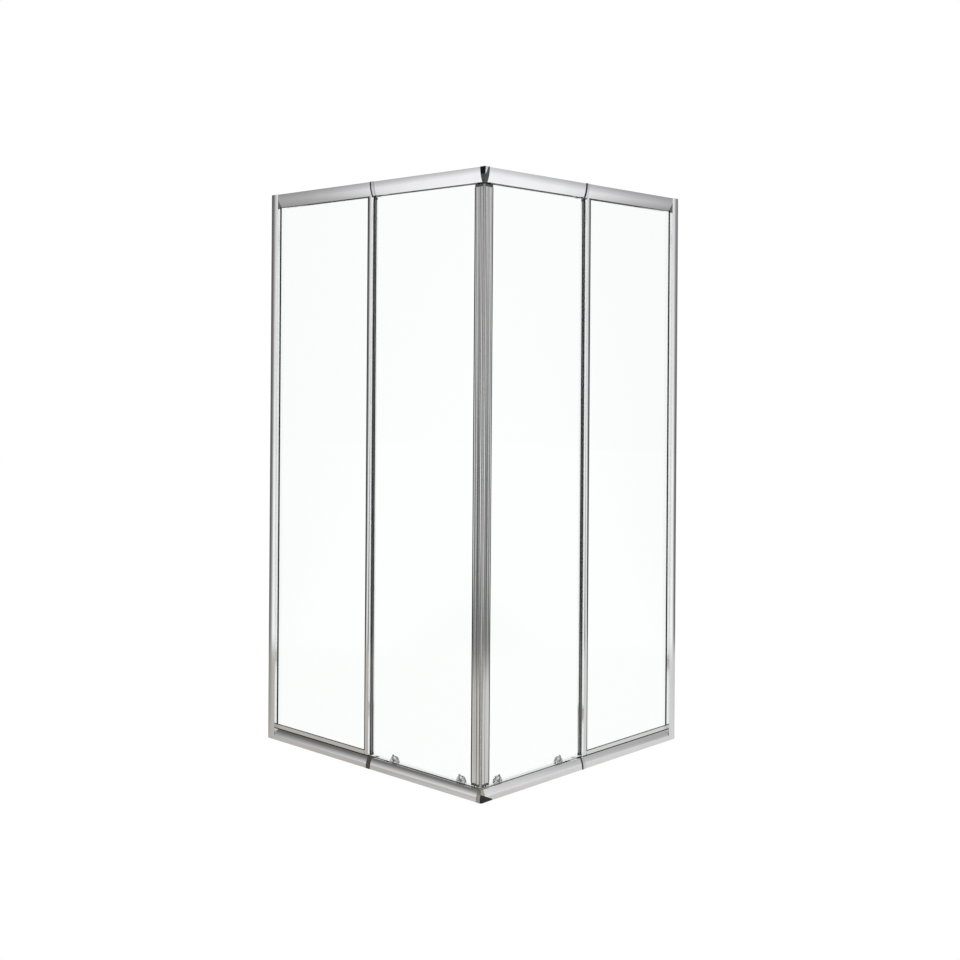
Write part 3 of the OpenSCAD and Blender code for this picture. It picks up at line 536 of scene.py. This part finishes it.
for side in along:
    own = [alongV(webScrew, u, screwLook["webV"], z, False) for u, z in screwLook["web"]]
    own += [alongV(shape, screwLook["channelU"], screwLook["channelV"], z, False)
            for z in screwLook["channelZ"] for shape in (channelScrew, screwCap)]
    own += [alongU(portScrew, screwLook["portU"], screwLook["portV"], z) for z in screwLook["portZ"]]
    points, faces = gather(own)
    parts.append((fromSide(side, points), faces))
points, faces = gather(parts)
putOn("cross_recess_screws", closedMesh("cross_recess_screws", points, faces), plain["turnedSteel"], "root",
      "stainless_steel", "frame_screws")

# Ball bearings in the wheels: steel races and a shield, each a ring turned from a closed profile
bearingLook = {"top": (5.75, 9.2), "bottom": (4.75, 6.2), "rise": 0.62, "shield": 0.3, "race": 0.24,
               "corner": 0.1, "groove": (0.15, 0.25), "sunk": 0.7, "columns": 64}
for name in [n for n in nodes if "_wheel_" in n]:
    inner, outer = bearingLook["top" if "_top_" in name else "bottom"]
    innerRace = inner + (outer - inner) * bearingLook["race"]
    outerRace = outer - (outer - inner) * bearingLook["race"]
    rise, shield, corner = bearingLook["rise"], bearingLook["shield"], bearingLook["corner"]
    floor, (near, far) = shield - corner, bearingLook["groove"]
    ring = [(inner, 0), (inner, rise - corner), (inner + corner, rise), (innerRace, rise), (innerRace, floor),
            (innerRace + near, floor), (innerRace + far, shield), (outerRace - far, shield),
            (outerRace - near, floor), (outerRace, floor), (outerRace, rise), (outer - corner, rise),
            (outer, rise - corner), (outer, 0), (inner, 0)]
    low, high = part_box(name)
    centre, side = (np.array(low) + np.array(high)) / 2, name.split("_")[0]
    deep = (high[1] - low[1] if side == "left" else high[0] - low[0]) / 2 / mm - bearingLook["sunk"]
    race, faces = turned(ring, bearingLook["columns"])
    points, faces = gather([(race + [0, 0, deep], faces), (race * [1, 1, -1] - [0, 0, deep], faces)])
    x, y, h = points.T * mm
    points = np.stack([x, h, y] if side == "left" else [h, x, y], axis=1) + centre
    putOn(name + "_bearing", closedMesh(name + "_bearing", points, faces), plain["turnedSteel"],
          nodes[name]["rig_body"], "stainless_steel")

# Pile strip behind each fixed upright: a woven backing and tufts of silvery fibre, each tuft a four-sided
# spike whose tip is pushed sideways by a seeded amount
pileLook = {"u": (480.95, 484.55), "v": (21.0, 21.7, 23.65), "z": (49.4, 1803.6), "corner": (0.3, 0.2),
            "pitch": 1.3, "rows": 3, "inset": 0.7, "endGap": 1.0, "sunk": 0.1, "foot": 0.42, "tip": 0.2,
            "stray": 0.35, "uneven": 0.25, "seed": 7}
rng = np.random.default_rng(pileLook["seed"])
strips = []
for side in along:
    (u0, u1), (v0, v1, v2), (z0, z1) = pileLook["u"], pileLook["v"], pileLook["z"]
    cornerU, cornerV = pileLook["corner"]
    outline = np.array([[u0, v0], [u1, v0], [u1, v1 - cornerV], [u1 - cornerU, v1], [u0 + cornerU, v1],
                        [u0, v1 - cornerV]])
    ends = np.array([[0, 1, 2, 5], [5, 2, 3, 4]])
    backing = np.concatenate([gridQuads(2, len(outline)), ends, ends + len(outline)])
    strip = (carriedUp(outline, z0, z1), backing)
    tuftZ, tuftU = np.meshgrid(
        np.arange(z0 + pileLook["endGap"], z1 - pileLook["endGap"], pileLook["pitch"]),
        np.linspace(u0 + pileLook["inset"], u1 - pileLook["inset"], pileLook["rows"]), indexing="ij")
    count, rootV = tuftU.size, v1 - pileLook["sunk"]
    strayU = rng.uniform(-1, 1, count) * pileLook["stray"]
    length = v2 - rootV - rng.uniform(0, pileLook["uneven"], count)
    strayZ = rng.uniform(-1, 1, count) * pileLook["stray"]
    foot = np.stack([tuftU.ravel(), np.full(count, rootV), tuftZ.ravel()], axis=1)
    tip = foot + np.stack([strayU, length, strayZ], axis=1)
    square = np.array([[-1, 0, -1], [1, 0, -1], [1, 0, 1], [-1, 0, 1]], float)
    spikes = np.stack([foot[:, None] + square * pileLook["foot"],
                       tip[:, None] + square * pileLook["tip"]], axis=1)
    walls = np.concatenate([gridQuads(2, 4), [[4, 5, 6, 7]], [[3, 2, 1, 0]]])
    tufts = (spikes.reshape(-1, 3), (walls[None] + np.arange(count)[:, None, None] * 8).reshape(-1, 4))
    points, faces = gather([strip, tufts])
    strips.append((fromSide(side, points), faces))
points, faces = gather(strips)
putOn("pile_strips", closedMesh("pile_strips", points, faces), plain["pileFibre"], "root",
      slotOf["upright_seals"], "upright_seals")

# Drip seal under the door glass: a clip with rolled lips, and two thin fins that curve outwards
dripLook = {"v": 29.0, "z": 28.0, "clip": 3.0, "wall": 0.5, "lip": 31.1, "base": 2.0, "corner": 0.4,
            "finRoot": 1.6, "finEnd": 7.6, "finAside": 1.0, "finBend": 1.6, "finT": 0.5, "finTaper": 0.55}


def finEdge(way):  # a fin's outline: it leaves the clip and bends sideways with the square of its length
    t = np.linspace(0, 1, 9)
    v = dripLook["v"] + way * (dripLook["finAside"] + dripLook["finBend"] * t ** 2)
    z = dripLook["z"] - dripLook["finRoot"] - (dripLook["finEnd"] - dripLook["finRoot"]) * t
    half = dripLook["finT"] / 2 * (1 - dripLook["finTaper"] * t)
    return np.concatenate([np.column_stack([v - half, z]), np.column_stack([v + half, z])[::-1]])


def clipEdge():  # the clip's outline: a half circle rolls each lip over, and the foot's corners are cut off
    clip, v, z, roll = dripLook["clip"], dripLook["v"], dripLook["z"], dripLook["wall"] / 2
    around = np.linspace(0, np.pi, 7)
    lipOut = np.column_stack([v + clip - roll + roll * np.cos(around),
                              dripLook["lip"] + roll * np.sin(around)])
    inside = [[v + clip - 2 * roll, z], [v - clip + 2 * roll, z]]
    high, low, corner = z - dripLook["base"] + dripLook["corner"], z - dripLook["base"], dripLook["corner"]
    foot = [[v - clip, high], [v - clip + corner, low], [v + clip - corner, low], [v + clip, high]]
    return np.concatenate([lipOut, inside, (lipOut * [-1, 1] + [2 * v, 0])[::-1], foot])


for side in along:
    low, high = np.array(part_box(side + "_drip_seal")) / mm
    reach = {"left": (low[0] + halfSide, high[0] + halfSide), "right": (halfSide - high[1], halfSide - low[1])}
    sweeps = [carriedOn(outline, *reach[side]) for outline in (clipEdge(), finEdge(-1), finEdge(1))]
    putOn(side + "_finned_seal", sweptMesh(side + "_finned_seal", side, sweeps), plain["softSeal"],
          side + "_door", "clear_seal", side + "_drip_seal")
print("small parts redrawn")

# Black glazing beads: a quarter round that fills the corner between a profile's lip and the glass, and a
# ledge under the fixed pane. Rows are (u of the lip, way to the glass, v of the glass face, z from, z to).
beadLook = {"width": 2.8, "depth": 1.9,
            "still": ((33.2, 1, 14.5, 49.0, 1806.0), (472.0, -1, 14.5, 49.0, 1806.0)),
            "moving": ((494.5, 1, 26.5, 44.0, 1796.0), (923.0, -1, 26.5, 44.0, 1796.0)),
            "ledgeU": (34.0, 492.0), "ledgeV": (10.4, 11.95), "ledgeZ": (35.1, 37.4),
            "ledgeCorner": (0.5, 1.2)}


# Quarter round: out from the lip by a cosine, forward from the glass by a sine
def beadUp(u, way, v, z0, z1):
    t = np.linspace(0, np.pi / 2, 6)
    arc = np.column_stack([u + way * beadLook["width"] * np.cos(t), v - beadLook["depth"] * np.sin(t)])
    return carriedUp(np.concatenate([[[u, v]], arc]), z0, z1)


for side in along:
    (v0, v1), (z0, z1), (cornerV, cornerZ) = (beadLook[k] for k in ("ledgeV", "ledgeZ", "ledgeCorner"))
    lip = np.array([[v0, z0], [v1, z0], [v1, z1], [v1 - cornerV, z1], [v0, z0 + cornerZ]])
    still = [beadUp(*row) for row in beadLook["still"]] + [carriedOn(lip, *beadLook["ledgeU"])]
    moving = [beadUp(*row) for row in beadLook["moving"]]
    for name, sweeps, body in (("_pane_beads", still, "root"), ("_door_beads", moving, side + "_door")):
        putOn(side + name, sweptMesh(side + name, side, sweeps), plain["glazingBead"], body, "dark_plastic")
print("glazing beads laid")


# What is left of a solid behind every plane (place, way out), each cut closed again
def closedPart(mesh, halves):
    work = bmesh.new()
    work.from_mesh(mesh)
    for place, wayOut in halves:
        cut = bmesh.ops.bisect_plane(work, geom=work.verts[:] + work.edges[:] + work.faces[:], plane_co=place,
                                     plane_no=wayOut, clear_outer=True)
        rim = [e for e in cut["geom_cut"] if isinstance(e, bmesh.types.BMEdge)]
        if rim:
            bmesh.ops.triangle_fill(work, use_beauty=True, use_dissolve=True, edges=rim)
    return work


# One piece for each finish: rows are (piece name, material, [planes of each part])
def splitNode(name, parts):
    whole = mergedCopy(name)
    for label, material, regions in parts:
        mesh = bpy.data.meshes.new(label)
        joined = bmesh.new()
        for halves in regions:
            work = closedPart(whole, halves)
            scrap = bpy.data.meshes.new("scrap")
            work.to_mesh(scrap)
            work.free()
            joined.from_mesh(scrap)
            bpy.data.meshes.remove(scrap)
        bmesh.ops.recalc_face_normals(joined, faces=joined.faces)
        joined.to_mesh(mesh)
        joined.free()
        shadeByAngle(mesh)
        putOn(label, mesh, material, nodes[name]["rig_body"], slotOf[name], name)


# The half-space that ends at this value of an axis, in mm; sign is the way out
def toward(axis, value, sign):
    place, way = [0.0, 0.0, 0.0], [0.0, 0.0, 0.0]
    place["xyz".index(axis)], way["xyz".index(axis)] = value * mm, float(sign)
    return place, way


def slanted(lowY, highY, z0, z1, sign):  # a plane along X through (lowY, z0) and (highY, z1), in mm
    return [0, lowY * mm, z0 * mm], [0, sign * (z1 - z0), -sign * (highY - lowY)]


# Rail joints: a plated sleeve with painted shade, a dark band, on one edge. The left joints start at x = 0 and
# the right ones at y = -band. Planes between them tell the two sides apart, and the head from the foot.
jointShadeLook = {"head": 6.0, "foot": 5.0, "wide": 17.0, "band": 17.0, "between": 300, "middle": 900}
leftHalf, rightHalf = toward("x", jointShadeLook["between"], 1), toward("x", jointShadeLook["between"], -1)
head, foot = toward("z", jointShadeLook["middle"], -1), toward("z", jointShadeLook["middle"], 1)
rightStart, band = toward("y", -jointShadeLook["band"], -1), jointShadeLook["band"]
splitNode("rail_joiners", [
    ("joint_lips", plain["sealLip"], [
        [head, leftHalf, toward("x", 0, -1), toward("x", jointShadeLook["head"], 1)],
        [head, rightHalf, rightStart, toward("y", jointShadeLook["head"] - band, 1)],
        [foot, rightHalf, rightStart, toward("y", jointShadeLook["foot"] - band, 1)]]),
    ("joint_lip_left_foot", plain["greyLip"], [
        [foot, leftHalf, toward("x", 0, -1), toward("x", jointShadeLook["wide"], 1)]]),
    ("joint_sleeves", plain["jointMoulding"], [
        [leftHalf, toward("x", 0, 1)], [head, leftHalf, toward("x", jointShadeLook["head"], -1)],
        [foot, leftHalf, toward("x", jointShadeLook["wide"], -1)], [rightHalf, toward("y", -band, 1)],
        [head, rightHalf, toward("y", jointShadeLook["head"] - band, -1)],
        [foot, rightHalf, toward("y", jointShadeLook["foot"] - band, -1)]])])

# Top corner: a grey block; on one face painted shade in black, in the other a chrome wedge as painted highlight
cornerLook = {"skin": 2.0, "wedgeTop": (0.0, 14.0), "wedgeTip": 4.0, "z": (1827.0, 1850.0)}
z0, z1 = cornerLook["z"]
tip, (nearY, farY) = cornerLook["wedgeTip"] - halfSide, (y - halfSide for y in cornerLook["wedgeTop"])
behindShade = toward("y", cornerLook["skin"] - halfSide, -1)
splitNode("top_corner", [
    # painted shade: the shaded face's outer layer in black
    ("top_corner_skin", plain["cornerBlack"], [[toward("y", cornerLook["skin"] - halfSide, 1)]]),
    # painted highlight: a chrome wedge where the other face catches the light
    ("top_corner_wedge", chrome, [
        [behindShade, slanted(tip, nearY, z0, z1, -1), slanted(tip, farY, z0, z1, 1)]]),
    # the rest in the lit grey copy of the moulding, painted light
    ("top_corner_block", plain["cornerGrey"], [
        [behindShade, slanted(tip, farY, z0, z1, -1)],
        [behindShade, slanted(tip, farY, z0, z1, 1), slanted(tip, nearY, z0, z1, 1)]])])

# Foot of the corner: painted shade, a black wedge under the right rail's end
footLook = {"from": (-halfSide + 50.0, 4.0), "to": (-halfSide, 26.0), "skin": 5.0}
(y0, low0), (y1, low1) = footLook["from"], footLook["to"]


def footLine(sign):  # the wedge's upper edge, a plane along X
    return [0, y0 * mm, low0 * mm], [0, sign * (low1 - low0), sign * (y0 - y1)]


splitNode("right_bottom_rail_door", [
    ("right_rail_foot_wedge", plain["sealLip"], [[toward("y", y0, 1), footLine(1)]]),
    ("right_bottom_rail_door_finished", aluminium["Y"], [
        [toward("y", y0, -1)], [toward("y", y0, 1), footLine(-1)]])])
outer = toward("x", halfSide - footLook["skin"], -1)
inner = toward("x", halfSide - footLook["skin"], 1)
# the same painted shade on the corner block's outer face
splitNode("bottom_corner", [
    ("corner_foot_wedge", plain["sealLip"], [[outer, footLine(1)]]),
    ("bottom_corner_finished", plain["satinPlate"], [[outer, footLine(-1)], [inner]])])
print("corner and joint pieces split by finish")

redrawn += ("rail_joiners", "top_corner", "bottom_corner", "right_bottom_rail_door")
for name in nodes:
    if "_spring_" not in name and name not in redrawn:  # a spring is squeezed, so it stays the node itself
        finishNode(name)
print("solids finished with broken edges")

# Studio: white behind the part, mid grey behind the camera and at its sides, greyer to the left than to the
# right, with a pale floor that the metal sees darker near the part, as painted shade. Places are degrees round
# from the camera, minus to the left.
studio = {
    "turn": -math.pi / 4, "strength": 1.05,
    "level": [(-180, "#FFFFFF"), (-158, "#E8E8E8"), (-142, "#8C8C8C"), (-124, "#6E6C6A"), (-110, "#64625F"),
              (-101, "#7C7A78"), (-96, "#949494"), (-94, "#9E9E9E"), (-92.2, "#B4B4B6"), (-90.4, "#C0C0C2"),
              (-87, "#CFCFD1"), (-82, "#E8E8E8"), (-76, "#FFFFFF"), (-62, "#FFFFFF"), (-50, "#A0A0A0"),
              (-30, "#7C7C7C"), (30, "#7C7C7C"), (50, "#A4A4A4"), (62, "#FFFFFF"), (88, "#E4E4E4"),
              (93, "#D2D2D4"), (95.7, "#BCBCBE"), (98.3, "#A6A6A8"), (101, "#969698"), (110, "#7C7C7C"),
              (126, "#7A7A7A"), (142, "#8C8C8C"), (160, "#F0F0F0"), (180, "#FFFFFF")],
    "above": [(-180, "#F4F4F4"), (-130, "#7A7872"), (-104, "#605E58"), (-96, "#66645E"), (-84, "#807E78"),
              (-50, "#C0C0BE"), (50, "#E8E8E8"), (88, "#E4E4E2"), (93, "#DADAD8"), (96, "#B8B8B6"),
              (104, "#B0B0AE"), (180, "#F4F4F4")],
    # near and far: the floor as the metal sees it, a painted reflection, darker near the part as painted shade
    "near": [(-180, "#A0A09C"), (-110, "#88847E"), (-95, "#A4A098"), (-88, "#BCB8B2"), (-40, "#B8B4AE"),
             (40, "#D8D8D6"), (90, "#D8D8D6"), (110, "#C8C8C6"), (180, "#A0A09C")],
    "far": [(-180, "#FFFFFF"), (-160, "#F0F0F0"), (-142, "#848484"), (-124, "#605F5E"), (-106, "#64625F"),
            (-98, "#A0A0A0"), (-96, "#A9A9A9"), (-94, "#B1B1B1"), (-92.2, "#D4D4D4"), (-90.4, "#F0F0F0"),
            (-87, "#FFFFFF"), (-82, "#FFFFFF"), (-76, "#8C8C8C"), (-66, "#747474"), (0, "#707070"),
            (66, "#747474"), (78, "#8C8C8C"), (86, "#FFFFFF"), (93, "#FFFFFF"), (95.7, "#F0F0F0"),
            (98.3, "#CACACA"), (101, "#A8A8A8"), (108, "#6C6C6C"), (124, "#686868"), (142, "#848484"),
            (160, "#F0F0F0"), (180, "#FFFFFF")],
    "horizon": (-0.13, 0.13), "aboveFrom": (0.04, 0.37), "farFrom": (1.9, 2.5)}


def aroundCamera(tree, vector, bands):  # one ramp for each band, by the angle round from the camera
    turnedBack = addNode(tree, "ShaderNodeMapping", {"Vector": vector}, {"Rotation": (0, 0, -studio["turn"])})
    angle = addNode(tree, "ShaderNodeTexGradient", {"Vector": turnedBack.outputs[0]}, gradient_type="RADIAL")
    stops = {band: [(place / 360 + 0.5, colour) for place, colour in studio[band]] for band in bands}
    return [ramp(tree, angle.outputs["Fac"], stops[band]).outputs[0] for band in bands]


# From the first band to the second as the value crosses its reach
def blendBands(tree, value, reach, first, second):
    share = addNode(tree, "ShaderNodeMapRange", {"Value": value},
                    {"From Min": reach[0], "From Max": reach[1]}, interpolation_type="SMOOTHSTEP")
    return addNode(tree, "ShaderNodeMix", {0: share.outputs[0], 6: first, 7: second},
                   data_type="RGBA").outputs[2]


def seenDirectly(tree):  # the light path, and 1 for rays that the camera sees straight or through glass
    lightPath = addNode(tree, "ShaderNodeLightPath")
    seen = addNode(tree, "ShaderNodeMath", {0: lightPath.outputs["Is Camera Ray"],
                   1: lightPath.outputs["Is Transmission Ray"]}, operation="MAXIMUM")
    return lightPath, seen.outputs[0]


def makeWorld():
    world = bpy.data.worlds.new("studio")
    bpy.context.scene.world = world
    world.use_nodes = True
    tree = world.node_tree
    tree.nodes.clear()
    out = addNode(tree, "ShaderNodeOutputWorld")
    facing = addNode(tree, "ShaderNodeTexCoord").outputs["Generated"]
    rise = addNode(tree, "ShaderNodeSeparateXYZ", {"Vector": facing}).outputs["Z"]
    far, level, above = aroundCamera(tree, facing, ("far", "level", "above"))
    low = blendBands(tree, rise, studio["horizon"], far, level)
    whole = blendBands(tree, rise, studio["aboveFrom"], low, above)
    room = addNode(tree, "ShaderNodeBackground", {"Color": whole}, {"Strength": studio["strength"]})
    white = addNode(tree, "ShaderNodeBackground", None, {"Color": (1, 1, 1, 1), "Strength": 1.0})
    seen = seenDirectly(tree)[1]
    both = addNode(tree, "ShaderNodeMixShader", {0: seen, 1: room.outputs[0], 2: white.outputs[0]})
    tree.links.new(both.outputs[0], out.inputs["Surface"])


# Floor: matt pale paint that glows almost white to the camera, so that the part's shadow stays faintly on it
floorLook = {"half": 14.0, "below": 0.5 * mm, "pale": "#F2F1EF", "deep": "#EEEDEA", "cloud": 0.6,
             "glow": 1.035, "glowShare": 0.94}


def makeFloor():
    mesh = bpy.data.meshes.new("floor")
    steps = np.linspace(-floorLook["half"], floorLook["half"], 9)
    gx, gy = np.meshgrid(steps, steps)
    points = np.stack([gx.ravel(), gy.ravel(), np.full(gx.size, -floorLook["below"])], axis=1)
    index = np.arange(gx.size).reshape(gx.shape)
    faces = np.stack([index[:-1, :-1], index[:-1, 1:], index[1:, 1:], index[1:, :-1]], axis=-1).reshape(-1, 4)
    mesh.from_pydata(points.tolist(), [], faces.tolist())
    floor = bpy.data.objects.new("floor", mesh)
    bpy.context.scene.collection.objects.link(floor)
    material, tree, out = startMaterial("paleStudioFloor")
    place = addNode(tree, "ShaderNodeTexCoord").outputs["Object"]
    cloud = addNode(tree, "ShaderNodeTexNoise", {"Vector": place},
                    {"Scale": floorLook["cloud"], "Detail": 2.0})
    colour = mixColours(tree, cloud.outputs["Fac"], floorLook["pale"], floorLook["deep"])
    matt = addNode(tree, "ShaderNodeBsdfDiffuse", {"Color": colour.outputs[2]})
    white = addNode(tree, "ShaderNodeEmission", None, {"Color": (1, 1, 1, 1), "Strength": floorLook["glow"]})
    away = addNode(tree, "ShaderNodeVectorMath", {0: place}, operation="LENGTH")
    # painted reflection and shade: to mirror rays alone the floor glows in these bands, darker near the part
    near, far = aroundCamera(tree, place, ("near", "far"))
    paintedMirrorShade = blendBands(tree, away.outputs["Value"], studio["farFrom"], near, far)
    mirrorFloor = addNode(tree, "ShaderNodeEmission", {"Color": paintedMirrorShade}, {"Strength": studio["strength"]})
    lightPath, seen = seenDirectly(tree)
    share = addNode(tree, "ShaderNodeMath", {0: seen}, {1: floorLook["glowShare"]}, operation="MULTIPLY")
    both = addNode(tree, "ShaderNodeMixShader", {0: share.outputs[0], 1: matt.outputs[0],
                   2: white.outputs[0]})
    onlyMirror = addNode(tree, "ShaderNodeMath", {0: lightPath.outputs["Is Glossy Ray"], 1: seen},
                         operation="SUBTRACT", use_clamp=True)
    mirrored = addNode(tree, "ShaderNodeMixShader", {0: onlyMirror.outputs[0], 1: both.outputs[0],
                       2: mirrorFloor.outputs[0]})
    tree.links.new(mirrored.outputs[0], out.inputs["Surface"])
    mesh.materials.append(material)
    floor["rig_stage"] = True


makeWorld()
makeFloor()
print("studio made")

# Camera at the photograph's angle, fitted to the straight edges
cameraLook = {"place": (3.09815, -3.35483, 1.25244), "turn": 0.77059, "roll": 0.00703, "lens": 50.0566,
              "shift": (0.040623, -0.112917)}
cameraData = bpy.data.cameras.new("camera")
cameraData.sensor_width, cameraData.lens = 36.0, cameraLook["lens"]
cameraData.shift_x, cameraData.shift_y = cameraLook["shift"]
cameraData.clip_end = 60.0
camera = bpy.data.objects.new("camera", cameraData)
camera.matrix_world = (Matrix.Translation(cameraLook["place"]) @ Matrix.Rotation(cameraLook["turn"], 4, "Z")
                       @ Matrix.Rotation(math.pi / 2, 4, "X") @ Matrix.Rotation(cameraLook["roll"], 4, "Z"))
bpy.context.scene.collection.objects.link(camera)
bpy.context.scene.camera = camera
bpy.context.scene.view_settings.view_transform = "Standard"

low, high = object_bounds()
